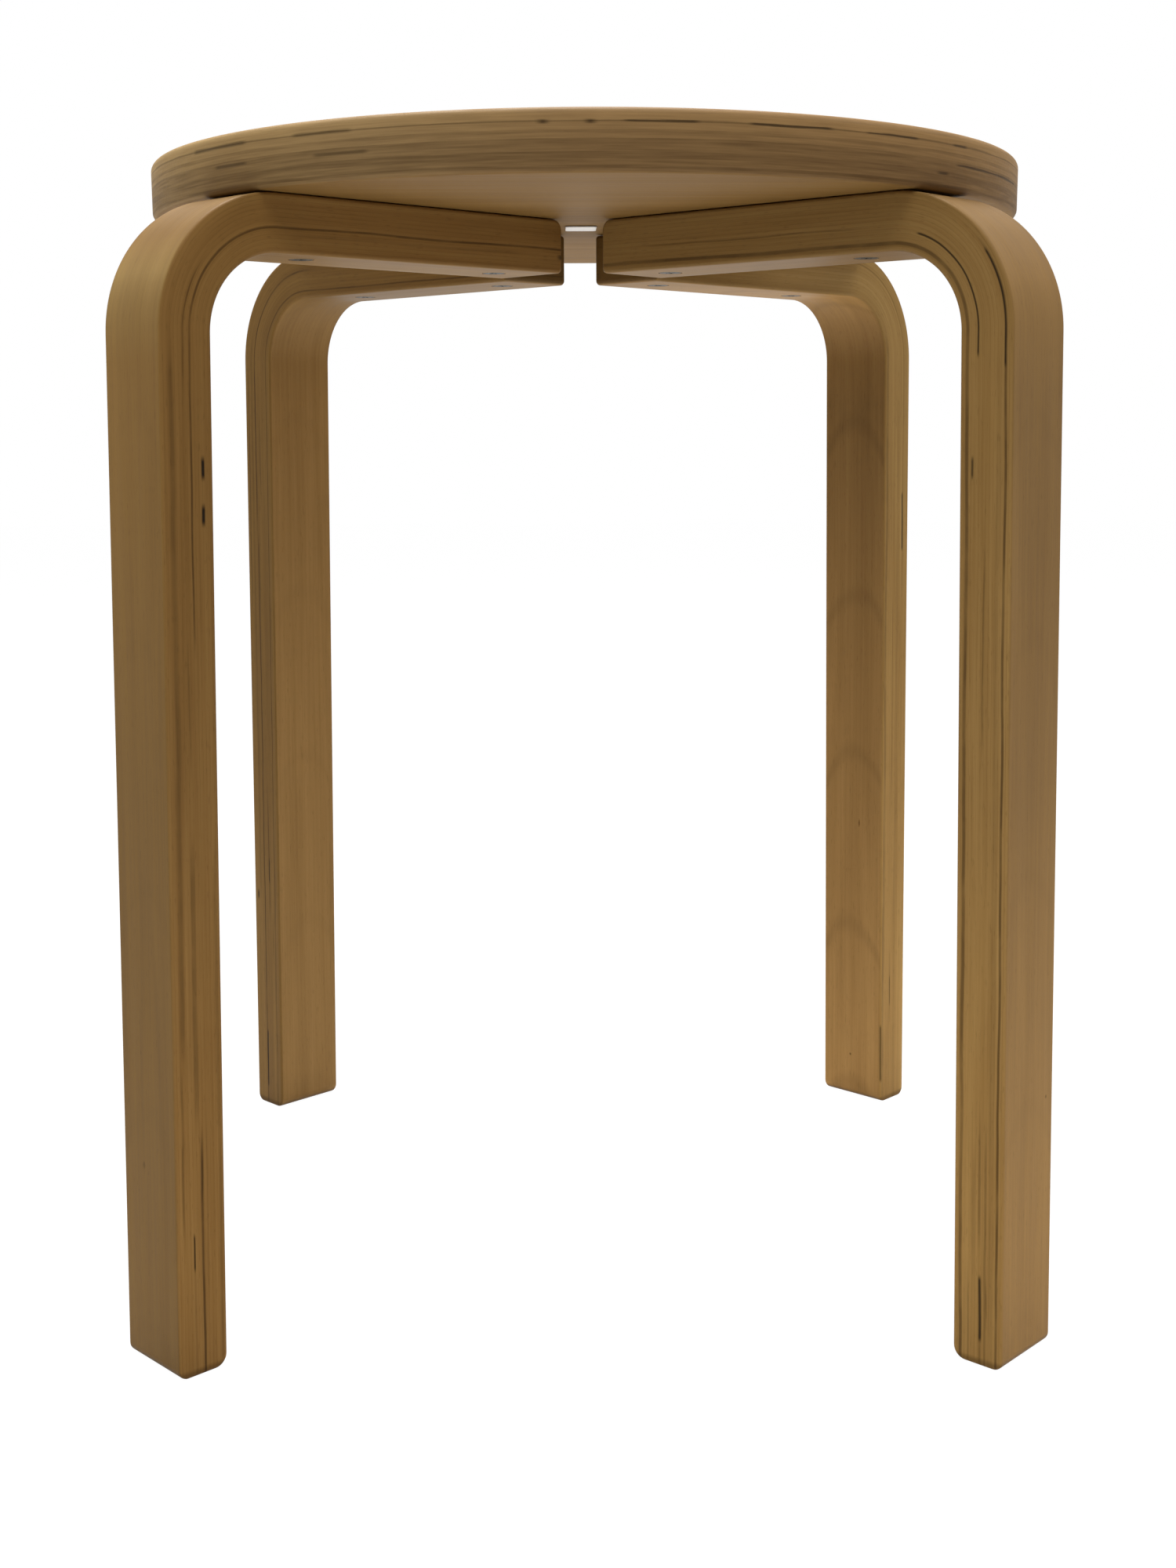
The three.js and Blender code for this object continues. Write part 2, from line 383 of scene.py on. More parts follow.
# Each leg has its own tint, on the faces and on the sawn sides, and tones at distances along the
# bar (mm from the arm's end). Both were set against the photographed stool, so besides its wood they
# hold painted light and shade: painted shade on the front legs' arms and bend starts under the seat,
# a painted highlight at the front-left bend, and painted light towards the feet. For other light,
# bring the tones nearer to 1.
legTints = {
    "front_left": {"face": (1.0, 0.98, 0.82), "side": (0.98, 0.95, 0.96)},
    "front_right": {"face": (1.0, 1.0, 0.99), "side": (1.02, 1.08, 1.2)},
    "back_right": {"face": (1.0, 1.0, 1.0), "side": (1.0, 1.06, 1.14)},
    "back_left": {"face": (1.0, 1.02, 1.05), "side": (1.0, 1.0, 0.96)},
}
faceShadeAndTones = {
    "front_left": (
        (0, 0.95), (120, 0.93), (165, 0.76), (178, 0.84), (194, (1.32, 1.5, 1.85)), (225, 1.02),
        (377, 0.82), (560, 0.9),
    ),
    "front_right": ((0, 0.95), (165, 0.75), (180, 0.8), (197, 1.1), (238, 0.9), (377, 1.06), (551, 1.7)),
    "back_right": ((0, 1.0), (50, 1.25), (130, 1.45), (237, 0.85), (387, 1.42), (549, 1.7)),
    "back_left": ((0, 0.95), (60, 0.82), (130, 0.78), (237, 1.38), (387, 1.5), (549, 1.4)),
}
sideShadeAndTones = {
    "front_left": ((0, 0.88), (130, 0.92), (238, 0.93), (377, 0.97), (551, 1.36)),
    "front_right": ((0, 0.87), (130, 0.87), (238, 1.12), (377, 1.28), (551, 1.9)),
    "back_right": (
        (0, 0.85), (45, 0.95), (85, (1.2, 1.26, 1.4)), (130, (1.15, 1.2, 1.3)), (238, 1.08),
        (387, 1.4), (549, 1.75),
    ),
    "back_left": ((0, 0.8), (130, 0.8), (238, 0.76), (387, 0.77), (549, 0.84)),
}
# Darker bands where a growth ring comes to the face: how strong on each leg
ringBands = {"front_left": 0.03, "front_right": 0.04, "back_right": 0.13, "back_left": 0.04}
growthRings = {
    "spacing": 85.0,   # mm along the bar
    "arch": 0.06,      # how far a ring sags towards the long edges, per square mm across
    "ripple": 26.0,    # mm
    "edge": 0.09,      # share of the spacing over which a ring fades
}
# Pin knots and flecks: along, across, depth of their face, length, width, strength
flecks = {
    "front_left": ((517.0, -4.0, 0, 1.6, 0.9, 0.35), (474.0, -4.5, 0, 1.2, 0.5, 0.2)),
    "front_right": ((496.0, 12.5, 0, 0.8, 0.8, 0.5), (446.0, 3.0, 0, 1.5, 0.4, 0.15)),
    "back_right": ((447.0, -3.9, 20.8, 2.2, 0.55, 0.6), (572.0, 1.0, 20.8, 0.8, 0.7, 0.65)),
    "back_left": ((356.0, 6.0, 20.8, 2.5, 0.5, 0.12),),
}
# Glue lines and open gaps on each leg's sawn sides: depth, from, to, width (mm), strength
glueLines = {
    "front_left": (
        (11.7, -5, 320, 0.6, 0.62), (11.1, 505, 600, 0.75, 0.75), (9.05, 188, 232, 0.5, 0.5),
        (8.95, 325, 365, 0.6, 0.3), (9.2, 395, 495, 1.4, 0.34), (4.0, 222, 470, 1.5, 0.32),
        (3.2, 480, 540, 0.8, 0.34), (14.2, 20, 130, 1.0, 0.15), (7.4, 552, 600, 0.7, 0.22),
        (18.6, 395, 600, 0.9, 0.22), (13.2, 495, 560, 0.6, 0.14),
    ),
    "front_right": (
        (17.8, -5, 600, 1.0, 0.58), (2.5, 185, 600, 0.75, 0.66), (11.8, 27, 121, 0.45, 0.35),
        (10.4, 295, 360, 0.5, 0.35), (6.8, 563, 574, 0.6, 0.6), (5.2, 230, 600, 1.6, 0.14),
        (7.3, 508, 600, 0.7, 0.3), (9.7, 503, 545, 0.8, 0.3), (9.3, 582, 600, 0.7, 0.4),
        (12.0, 515, 560, 0.9, 0.18), (14.4, 560, 600, 0.7, 0.2),
    ),
    "back_left": (
        (8.3, 140, 295, 0.6, 0.62), (9.0, 300, 600, 0.6, 0.62), (17.3, -5, 600, 0.5, 0.5),
        (3.0, 225, 330, 0.6, 0.4), (11.4, 245, 275, 0.5, 0.4), (12.9, 430, 490, 0.6, 0.5),
        (15.4, 497, 515, 0.5, 0.5), (5.6, 200, 480, 1.2, 0.2),
    ),
    "back_right": (
        (5.2, -5, 330, 0.5, 0.25), (12.6, 335, 430, 0.5, 0.25), (12.7, 520, 550, 0.6, 0.45),
        (18.6, 200, 600, 1.2, 0.3), (9.0, 240, 600, 1.6, 0.12),
    ),
}
openGaps = {
    "front_left": (
        (16.4, 258, 265, 1.0, 0.95), (16.4, 274.5, 281, 1.0, 0.95), (7.4, 540, 553.5, 0.5, 0.85),
        (14.6, -5, 2.2, 1.4, 0.7),
    ),
    "front_right": (
        (2.75, 185, 228, 0.55, 0.8), (13.4, 153, 224, 0.5, 0.85), (15.5, 259, 266, 0.7, 0.7),
        (9.3, 560, 585, 0.85, 0.85),
    ),
    "back_left": (
        (9.3, 555, 585, 0.7, 0.85), (3.5, 481, 485, 0.8, 0.8), (12.9, 463, 475, 0.5, 0.75),
    ),
    "back_right": (
        (5.6, 280, 308, 0.8, 0.75), (12.7, 528, 543, 0.5, 0.5), (20.1, 553, 583, 0.8, 0.6),
    ),
}


def tonesAlong(tree, place, stops, interpolation="LINEAR"):
    # a ramp over stops of (place, tone), where a tone is a grey or three parts
    first, last = stops[0][0], stops[-1][0]
    share = addNode(tree, "MapRange", (place, first, last, 0.0, 1.0))
    ramp = addNode(tree, "ValToRGB", (share,))
    ramp.color_ramp.interpolation = interpolation
    steps = ramp.color_ramp.elements
    steps.remove(steps[-1])
    for index, (start, tone) in enumerate(stops):
        step = steps.new((start - first) / (last - first)) if index else steps[0]
        step.color = (*(tone if isinstance(tone, tuple) else (tone,) * 3), 1)
    return ramp


def streaks(tree, place, along, across, shift, detail=4.0, distortion=0.0):
    # noise drawn out along the first axis; spacings in millimetres
    stretched = addNode(
        tree, "VectorMath", (place, (1 / along, 1 / across, 1 / across), shift),
        operation="MULTIPLY_ADD",
    )
    return addNode(
        tree, "TexNoise",
        {"Vector": stretched, "Scale": 1.0, "Detail": detail, "Roughness": 0.55,
         "Distortion": distortion},
    )


def seamMask(tree, along, depth, seam, fade):
    level, start, end, width, strength = seam
    below = addNode(tree, "Math", (depth, level), operation="SUBTRACT")
    offset = addNode(tree, "Math", (below,), operation="ABSOLUTE")
    across = addNode(
        tree, "MapRange", (offset, width * 0.3, width, strength, 0.0), interpolation_type="SMOOTHSTEP",
    )
    opening = addNode(
        tree, "MapRange", (along, start - fade, start + fade, 0.0, 1.0),
        interpolation_type="SMOOTHSTEP",
    )
    closing = addNode(
        tree, "MapRange", (along, end - fade, end + fade, 1.0, 0.0), interpolation_type="SMOOTHSTEP",
    )
    length = addNode(tree, "Math", (opening, closing), operation="MULTIPLY")
    return addNode(tree, "Math", (across, length), operation="MULTIPLY")


def strongest(tree, masks):
    result = masks[0]
    for mask in masks[1:]:
        result = addNode(tree, "Math", (result, mask), operation="MAXIMUM")
    return result


def stained(tree, amount, base, tint):
    # lays one colour over another by the given amount
    return addNode(tree, "Mix", {0: amount, 6: base, 7: tint}, data_type="RGBA").outputs[2]


def ringMask(tree, along, across, ripple, strength):
    # growth rings cross a rotary-cut face as long arches
    arch = addNode(tree, "Math", (across, across), operation="MULTIPLY")
    arch = addNode(tree, "Math", (arch, -growthRings["arch"], along), operation="MULTIPLY_ADD")
    arch = addNode(tree, "Math", (ripple, growthRings["ripple"], arch), operation="MULTIPLY_ADD")
    share = addNode(tree, "Math", (arch, growthRings["spacing"]), operation="DIVIDE")
    fromRing = addNode(tree, "Math", (share, 0.5), operation="PINGPONG")
    return addNode(
        tree, "MapRange", (fromRing, 0.0, growthRings["edge"], strength, 0.0),
        interpolation_type="SMOOTHSTEP",
    )


def fleckMask(tree, place, fleck):
    along, across, depth, length, width, strength = fleck
    offset = addNode(
        tree, "VectorMath", (place, (along, across, depth)), operation="SUBTRACT",
    )
    scaled = addNode(
        tree, "VectorMath", (offset, (1 / length, 1 / width, 1.0)), operation="MULTIPLY",
    )
    distance = addNode(tree, "VectorMath", (scaled,), operation="LENGTH").outputs["Value"]
    return addNode(tree, "MapRange", (distance, 0.4, 1.1, strength, 0.0))


def woodTone(tree, figure, fibre):
    blend = addNode(tree, "Mix", {0: 0.4, 2: figure, 3: fibre}, data_type="FLOAT")
    return addNode(tree, "MapRange", (blend, 0.36, 0.64, 0.0, 1.0))


def lacquered(tree, wood, base, fibre, pores, seams, gaps):
    # the lacquer follows the wood: hollows at pores and seams, and a gloss that varies with the fibre
    hollows = addNode(tree, "Math", (seams, pores), operation="ADD")
    deep = addNode(tree, "Math", (gaps, 3.0, hollows), operation="MULTIPLY_ADD")
    height = addNode(tree, "Math", (fibre, 0.4), operation="MULTIPLY")
    height = addNode(tree, "Math", (height, deep), operation="SUBTRACT")
    bump = addNode(
        tree, "Bump", {"Strength": wood["bump"], "Distance": 0.0004, "Height": height},
    )
    rough = addNode(
        tree, "MapRange", (fibre, 0.3, 0.7, wood["roughness"] - 0.06, wood["roughness"] + 0.08),
    )
    return addNode(
        tree, "BsdfPrincipled",
        {"Base Color": base, "Roughness": rough, "IOR": 1.5, "Specular IOR Level": wood["gloss"],
         "Normal": bump},
    )


def bentBirchMaterial(leg, index):
    material, tree = newMaterial("lacqueredBentBirch_" + leg)
    wood = bentBirch
    shift = (index * 7.3 + 1.7, index * 4.1 + 0.6, index * 2.9)
    place = addNode(tree, "Attribute", attribute_name="laminate").outputs["Vector"]
    along, across, depth = addNode(tree, "SeparateXYZ", (place,)).outputs

    figure = streaks(tree, place, *wood["figure"], shift, detail=3, distortion=0.4)
    fibre = streaks(tree, place, *wood["fibre"], shift, detail=5)
    tone = woodTone(tree, figure, fibre)
    face = stained(tree, tone, colour(wood["deep"]), colour(wood["pale"]))
    sawn = stained(tree, tone, colour(wood["sideDeep"]), colour(wood["sidePale"]))

    # the sawn sides, where each veneer keeps its own tone
    half = legBar["width"] / 2
    fromMiddle = addNode(tree, "Math", (across,), operation="ABSOLUTE")
    side = addNode(tree, "MapRange", (fromMiddle, half - 0.9, half - 0.25, 0.0, 1.0))
    drift = streaks(tree, place, *wood["drift"], shift, detail=1)
    wavyPly = addNode(tree, "Math", (drift, 0.8, depth), operation="MULTIPLY_ADD")
    veneer = addNode(tree, "Math", (wavyPly, wood["ply"]), operation="DIVIDE")
    ownTone = addNode(tree, "Math", (veneer,), operation="FLOOR")
    ownTone = addNode(tree, "Math", (ownTone, index * 31.0), operation="ADD")
    ownTone = addNode(tree, "TexWhiteNoise", {"W": ownTone}, noise_dimensions="1D")
    ownTone = addNode(tree, "Math", (ownTone, 0.4), operation="MULTIPLY")
    sawn = stained(tree, ownTone, sawn, colour(wood["sideDeep"]))
    base = stained(tree, side, face, sawn)

    # across both ends the fibres are seen end on, drink more lacquer and look darker
    full, clear = wood["armEndGrain"]
    armEnd = addNode(tree, "MapRange", (along, clear, full, 0.0, 1.0))
    full, clear = wood["soleEndGrain"]
    sole = addNode(tree, "MapRange", (along, barLength - clear, barLength - full, 0.0, 0.8))
    barEnd = addNode(tree, "Math", (armEnd, sole), operation="MAXIMUM")
    base = stained(tree, barEnd, base, colour(wood["endGrain"]))

    # growth rings and flecks on the broad faces
    rings = ringMask(tree, along, across, drift, ringBands[leg])
    onFaces = addNode(tree, "Math", (1.0, side), operation="SUBTRACT")
    rings = addNode(tree, "Math", (rings, onFaces), operation="MULTIPLY")
    marks = strongest(tree, [fleckMask(tree, place, fleck) for fleck in flecks[leg]])

    # glue lines wander a little; a joint shows faintly between any two veneers
    wander = streaks(tree, place, *wood["wander"], shift, detail=2)
    wander = addNode(tree, "MapRange", (wander, 0.3, 0.7, -0.4, 0.4))
    wavyDepth = addNode(tree, "Math", (depth, wander), operation="ADD")
    patchy = streaks(tree, place, *wood["patch"], shift, detail=2)
    patchy = addNode(tree, "MapRange", (patchy, 0.32, 0.55, 0.6, 1.0))
    lines = [seamMask(tree, along, wavyDepth, line, wood["lineFade"]) for line in glueLines[leg]]
    seams = strongest(tree, lines)
    cut = addNode(tree, "Math", (side, barEnd), operation="MAXIMUM")
    seams = addNode(tree, "Math", (seams, patchy), operation="MULTIPLY")
    seams = addNode(tree, "Math", (seams, cut), operation="MULTIPLY")
    opened = [seamMask(tree, along, wavyDepth, gap, wood["gapFade"]) for gap in openGaps[leg]]
    gaps = strongest(tree, opened)
    gaps = addNode(tree, "Math", (gaps, cut), operation="MULTIPLY")
    inPly = addNode(tree, "Math", (veneer, 0.5), operation="PINGPONG")
    joint = addNode(tree, "MapRange", (inPly, 0.12, 0.0, 0.0, 1.0))
    joint = addNode(tree, "Math", (joint, side), operation="MULTIPLY")
    unevenly = addNode(tree, "MapRange", (patchy, 0.6, 1.0, 0.0, 0.2))
    joint = addNode(tree, "Math", (joint, unevenly), operation="MULTIPLY")
    pore = streaks(tree, place, *wood["pore"], shift, detail=1)
    pores = addNode(tree, "MapRange", (pore, 0.62, 0.74, 0.0, 0.16))
    stains = (
        (rings, "glue"), (joint, "glue"), (pores, "glue"), (marks, "glue"), (seams, "glue"),
        (gaps, "gap"),
    )
    for amount, tint in stains:
        base = stained(tree, amount, base, colour(wood[tint]))
    # tones and tints along the bar: painted light and shade as well as the wood's own tone
    faceShadeAndTone = tonesAlong(tree, along, faceShadeAndTones[leg])
    faceShadeAndTone = addNode(tree, "VectorMath", (faceShadeAndTone, legTints[leg]["face"]), operation="MULTIPLY")
    sideShadeAndTone = tonesAlong(tree, along, sideShadeAndTones[leg])
    sideShadeAndTone = addNode(tree, "VectorMath", (sideShadeAndTone, legTints[leg]["side"]), operation="MULTIPLY")
    legShadeAndTone = stained(tree, side, faceShadeAndTone, sideShadeAndTone)
    base = addNode(tree, "VectorMath", (base, legShadeAndTone), operation="MULTIPLY")
    finishMaterial(tree, lacquered(tree, wood, base, fibre, pores, seams, gaps))
    return material


for index, (leg, turn) in enumerate(legTurns.items()):
    piece = makeLeg("bentLeg_" + leg, turn, armEndTops[leg])
    dress(piece, bentBirchMaterial(leg, index), "leg_" + leg)
print("legs bent")


# Seat: a thick disc, its two rims eased, on eight pilot holes and the plug's hole

seatShape = {
    "topRound": 3.0,
    "bottomRound": 2.5,
    "roundSteps": 8,
    "segments": 256,
    "plugHole": (8.0, 7.0),   # diameter, depth
}


def seatDisc(sizes):
    middle = (seatLow + seatHigh) / 2 / metresPerMm
    radius = (seatHigh.x - seatLow.x) / 2 / metresPerMm
    under = seatLow.z / metresPerMm
    top = seatHigh.z / metresPerMm
    shape = bmesh.new()
    bmesh.ops.create_circle(shape, cap_ends=True, radius=radius, segments=sizes["segments"])
    bmesh.ops.translate(shape, verts=shape.verts, vec=(middle.x, 0, under))
    upper = bmesh.ops.extrude_face_region(shape, geom=list(shape.faces))["geom"]
    bmesh.ops.translate(
        shape, verts=[g for g in upper if isinstance(g, bmesh.types.BMVert)], vec=(0, 0, top - under),
    )
    bmesh.ops.recalc_face_normals(shape, faces=shape.faces)

    def around(level):
        return edgesWhere(shape, lambda e: all(abs(v.co.z - level) < 0.01 for v in e.verts))

    softenEdges(shape, around(top), sizes["topRound"], sizes["roundSteps"])
    softenEdges(shape, around(under), sizes["bottomRound"], sizes["roundSteps"])
    bmesh.ops.scale(shape, verts=shape.verts, vec=(metresPerMm,) * 3)
    return shape


def seatHoles(sizes, screw):
    shape = bmesh.new()
    under = seatLow.z / metresPerMm
    radius = screw["shank"] / 2 + screw["clearance"]
    top = armUnderside + screw["length"] + screw["clearance"]
    holes = []
    for turn in legTurns.values():
        for reach in screwReaches:
            spot = Matrix.Rotation(math.radians(turn), 3, "Z") @ Vector((reach, 0, 0))
            holes.append((spot.x, spot.y, radius, top))
    holes.append((0, 0, sizes["plugHole"][0] / 2, under + sizes["plugHole"][1]))
    for x, y, wide, end in holes:
        bmesh.ops.create_cone(
            shape, cap_ends=True, segments=24, radius1=wide, radius2=wide, depth=end - under + 2,
            matrix=Matrix.Translation((x, y, (end + under - 2) / 2)),
        )
    bmesh.ops.scale(shape, verts=shape.verts, vec=(metresPerMm,) * 3)
    return shape


# Birch plywood: cross-laid rotary-cut veneers, turned and lacquered.
# The faces are a quiet tan; the rim shows light and dark veneers and a few open joints.
birchPly = {
    "pale": "#8b6a39",
    "deep": "#7d5d30",
    "rimPale": "#af8b5b",
    "rimDeep": "#6b5132",
    "glue": "#2a1a08",
    "gap": "#120a04",
    "figure": (320, 16),
    "fibre": (80, 1.5),
    "pore": (5.0, 0.6),
    "roughness": 0.58,
    "gloss": 0.08,
    "bump": 0.08,
    "rimStreak": (22, 1 / 1.4),   # mm round and up the rim
    "rimJoint": 445.3,          # mm above the floor, a joint that shows all round
    "paintedTopShade": (447.2, 449.2, 0.7),   # mm above the floor, from and to, and tone: painted shade darkening the top edge of the rim
}
# Rim, from the underside up: where each veneer starts (mm above the floor) and how pale it is
rimVeneers = (
    (428.0, 0.25), (430.3, 0.1), (431.2, 0.22), (433.4, 0.12), (435.6, 0.25), (437.8, 0.19),
    (439.8, 0.45), (441.4, 0.32), (442.6, 0.54), (445.3, 0.7), (447.2, 0.8), (450.0, 0.8),
)
# Tones round the rim, by degrees from +X. Like the legs' tones they were set against the
# photographed stool and hold painted light as well as the ply's tone: the left and front-left of the
# rim, where the light fell more strongly, are painted lighter.
rimLightAndTones = (
    (-180, (1.3, 1.38, 1.4)), (-150, (1.36, 1.48, 1.5)), (-115, (1.2, 1.28, 1.34)), (-90, 1.06),
    (-60, (0.97, 0.94, 0.9)), (0, 0.98), (180, (1.3, 1.38, 1.4)),
)
# Open joints on the front of the rim: height, from, to (degrees from +X), width (mm), strength
rimSeams = (
    (445.3, -144, -133, 1.0, 0.5), (445.3, -125, -117, 0.9, 0.42), (445.3, -86, -78, 0.6, 0.6),
    (445.3, -72, -62, 0.6, 0.65), (445.3, -57, -49, 0.6, 0.65), (445.3, -42, -39, 0.6, 0.6),
    (445.1, -95.2, -94.3, 1.0, 0.75), (445.1, -90.1, -89.2, 1.0, 0.75), (438.4, -139, -133, 0.9, 0.45),
    (438.2, -122, -115, 0.9, 0.42), (438.7, -41, -20, 0.45, 0.65), (435.1, -45, -43, 0.6, 0.6),
)


def birchPlyMaterial():
    material, tree = newMaterial("lacqueredBirchPly")
    wood = birchPly
    place = millimetres(tree)
    x, y, z = addNode(tree, "SeparateXYZ", (place,)).outputs
    shift = (3.1, 8.4, 5.2)
    figure = streaks(tree, place, *wood["figure"], shift, detail=3, distortion=0.7)
    fibre = streaks(tree, place, *wood["fibre"], shift, detail=5)
    tone = woodTone(tree, figure, fibre)
    face = stained(tree, tone, colour(wood["deep"]), colour(wood["pale"]))

    # rim: streaks that run round it, and one tone for each veneer
    length, height = wood["rimStreak"]
    flattened = addNode(
        tree, "VectorMath", (place, (1 / length, 1 / length, 1 / height)), operation="MULTIPLY",
    )
    rimStreaks = addNode(tree, "TexNoise", {"Vector": flattened, "Scale": 1.0, "Detail": 4.0})
    sorts = tonesAlong(tree, z, rimVeneers, "CONSTANT")
    lively = addNode(tree, "MapRange", (rimStreaks, 0.3, 0.7, -0.15, 0.15))
    rimTone = addNode(tree, "Math", (sorts, lively), operation="ADD", use_clamp=True)
    rimColour = stained(tree, rimTone, colour(wood["rimDeep"]), colour(wood["rimPale"]))
    turn = addNode(tree, "Math", (y, x), operation="ARCTAN2")
    turn = addNode(tree, "Math", (turn,), operation="DEGREES")
    # painted light round the rim, lighter at the left and front-left
    around = tonesAlong(tree, turn, rimLightAndTones)
    # painted shade: the top edge of the rim is darkened
    start, end, darker = wood["paintedTopShade"]
    edge = addNode(tree, "MapRange", (z, start, end, 1.0, darker))
    around = addNode(tree, "VectorMath", {0: around, "Scale": edge}, operation="SCALE")
    rimColour = addNode(tree, "VectorMath", (rimColour, around), operation="MULTIPLY")
    outward = addNode(tree, "NewGeometry").outputs["Normal"]
    upward = addNode(tree, "SeparateXYZ", (outward,)).outputs[2]
    upward = addNode(tree, "Math", (upward,), operation="ABSOLUTE")
    rim = addNode(tree, "MapRange", (upward, 0.97, 0.80, 0.0, 1.0))
    base = stained(tree, rim, face, rimColour)

    wander = addNode(tree, "MapRange", (rimStreaks, 0.3, 0.7, -0.2, 0.2))
    wavyHeight = addNode(tree, "Math", (z, wander), operation="ADD")
    joint = seamMask(tree, turn, wavyHeight, (wood["rimJoint"], -200, 200, 0.4, 0.4), 1)
    opened = [seamMask(tree, turn, wavyHeight, seam, 0.6) for seam in rimSeams]
    joint = addNode(tree, "Math", (joint, rim), operation="MULTIPLY")
    gaps = addNode(tree, "Math", (strongest(tree, opened), rim), operation="MULTIPLY")
    pore = streaks(tree, place, *wood["pore"], shift, detail=1)
    pores = addNode(tree, "MapRange", (pore, 0.62, 0.74, 0.0, 0.14))
    onFaces = addNode(tree, "Math", (1.0, rim), operation="SUBTRACT")
    pores = addNode(tree, "Math", (pores, onFaces), operation="MULTIPLY")
    for amount, tint in ((joint, "glue"), (pores, "glue"), (gaps, "gap")):
        base = stained(tree, amount, base, colour(wood[tint]))
    finishMaterial(tree, lacquered(tree, wood, base, fibre, pores, joint, gaps))
    return material


seat = meshPiece("plySeat", seatDisc(seatShape))
cutAway(seat, seatHoles(seatShape, screwShape))
shade(seat.data, lambda face: abs(face.normal.z) > 0.999)
dress(seat, birchPlyMaterial(), "seat")
print("seat turned")


# Screws: countersunk heads flush with the arms' undersides, a cross recess and a cut thread

# Taken to be zinc-plated steel that has gone dull: grey, a soft sheen and faint cloudy blotches.
zincPlate = {
    "pale": "#4e4a3c",
    "deep": "#29261e",
    "roughness": 0.48,
    "blotch": 1.6,   # mm
}


def zincMaterial():
    material, tree = newMaterial("zincPlatedSteel")
    cloud = addNode(
        tree, "TexNoise",
        {"Vector": millimetres(tree), "Scale": 1 / zincPlate["blotch"], "Detail": 4.0,
         "Roughness": 0.6},
    )
    tone = addNode(tree, "MapRange", (cloud, 0.35, 0.65, 0.0, 1.0))
    base = stained(tree, tone, colour(zincPlate["deep"]), colour(zincPlate["pale"]))
    dull = zincPlate["roughness"]
    rough = addNode(tree, "MapRange", (cloud, 0.3, 0.7, dull + 0.1, dull - 0.08))
    bump = addNode(tree, "Bump", {"Strength": 0.15, "Distance": 0.00005, "Height": cloud})
    surface = addNode(
        tree, "BsdfPrincipled",
        {"Base Color": base, "Metallic": 1.0, "Roughness": rough, "Normal": bump},
    )
    finishMaterial(tree, surface)
    return material


def screwBody(screw):
    head = screw["headDiameter"] / 2
    shank = screw["shank"] / 2
    root = screw["root"] / 2
    tipStart = screw["length"] - screw["tip"]
    profile = [
        (0, 0), (head - 0.25, 0), (head, 0.2), (head, screw["headRim"]),
        (shank, screw["headRim"] + head - shank), (shank, screw["smooth"] - 0.6),
        (root, screw["smooth"]), (root, tipStart), (0, screw["length"]),
    ]
    return turnedShape(profile, 32)


def addThread(shape, screw):
    # one triangular ridge wound up the core
    turns = int((screw["length"] - screw["tip"] - screw["smooth"]) / screw["pitch"])
    root = screw["root"] / 2 - 0.1
    start = screw["smooth"]
    ridge = [(root, start), (screw["shank"] / 2, start + 0.45), (root, start + 0.9)]
    points = [shape.verts.new((radius, 0, height)) for radius, height in ridge]
    face = shape.faces.new(points)
    steps = 20 * turns
    bmesh.ops.spin(
        shape, geom=[face, *face.edges, *points], cent=(0, 0, 0), axis=(0, 0, 1),
        dvec=(0, 0, screw["pitch"] * turns / steps), angle=2 * math.pi * turns, steps=steps,
        use_merge=False, use_duplicate=False,
    )
    bmesh.ops.recalc_face_normals(shape, faces=shape.faces)


def crossBar(screw, turn):
    length, width, depth = screw["recess"]
    shape = bmesh.new()
    bmesh.ops.create_cube(shape, size=1)
    bmesh.ops.scale(shape, verts=shape.verts, vec=(length, width, depth * 2))
    for vert in shape.verts:
        if vert.co.z > 0:
            # the recess narrows towards its floor
            vert.co.x *= 0.55
            vert.co.y *= 0.7
    spun = Matrix.Rotation(math.radians(turn), 3, "Z")
    bmesh.ops.rotate(shape, verts=shape.verts, cent=(0, 0, 0), matrix=spun)
    bmesh.ops.scale(shape, verts=shape.verts, vec=(metresPerMm,) * 3)
    return shape


def screwMesh(screw):
    shape = screwBody(screw)
    bmesh.ops.scale(shape, verts=shape.verts, vec=(metresPerMm,) * 3)
    piece = meshPiece("screwBody", shape)
    for turn in (0, 90):
        cutAway(piece, crossBar(screw, turn))
    thread = bmesh.new()
    addThread(thread, screw)
    bmesh.ops.scale(thread, verts=thread.verts, vec=(metresPerMm,) * 3)
    thread.from_mesh(piece.data)
    mesh = bpy.data.meshes.new("screwBody")
    thread.to_mesh(mesh)
    thread.free()
    bpy.data.objects.remove(piece)
    shade(mesh, lambda face: abs(face.normal.z) > 0.999)
    return mesh


plainScrew = screwMesh(screwShape)
zinc = zincMaterial()
crossTurns = iter(screwShape["turns"])
for leg, turn in legTurns.items():
    for spot, reach in zip(("inner", "outer"), screwReaches):
        mesh = plainScrew.copy()
        toArm = Matrix.Translation((reach * metresPerMm, 0, armUnderside * metresPerMm))
        spun = Matrix.Rotation(math.radians(next(crossTurns)), 4, "Z")
        mesh.transform(Matrix.Rotation(math.radians(turn), 4, "Z") @ toArm @ spun)
        piece = bpy.data.objects.new("woodScrew_" + leg + "_" + spot, mesh)
        bpy.context.collection.objects.link(piece)
        dress(piece, zinc, "screw_" + leg + "_" + spot)
print("screws driven")


# Plug under the seat, in the middle of the four legs: a thin oblong plate on a stem

plugShape = {
    "corner": 1.5,
    "thickness": 0.4,
    "edge": 0.12,
    "stemDiameter": 7.4,
}
# Taken to be moulded polyethylene: milky white, soft gloss, a faint mottle.
whitePlastic = {
    "pale": "#f3eee6",
    "deep": "#e8e1d6",
    "roughness": 0.35,
    "mottle": 2.5,   # mm
}


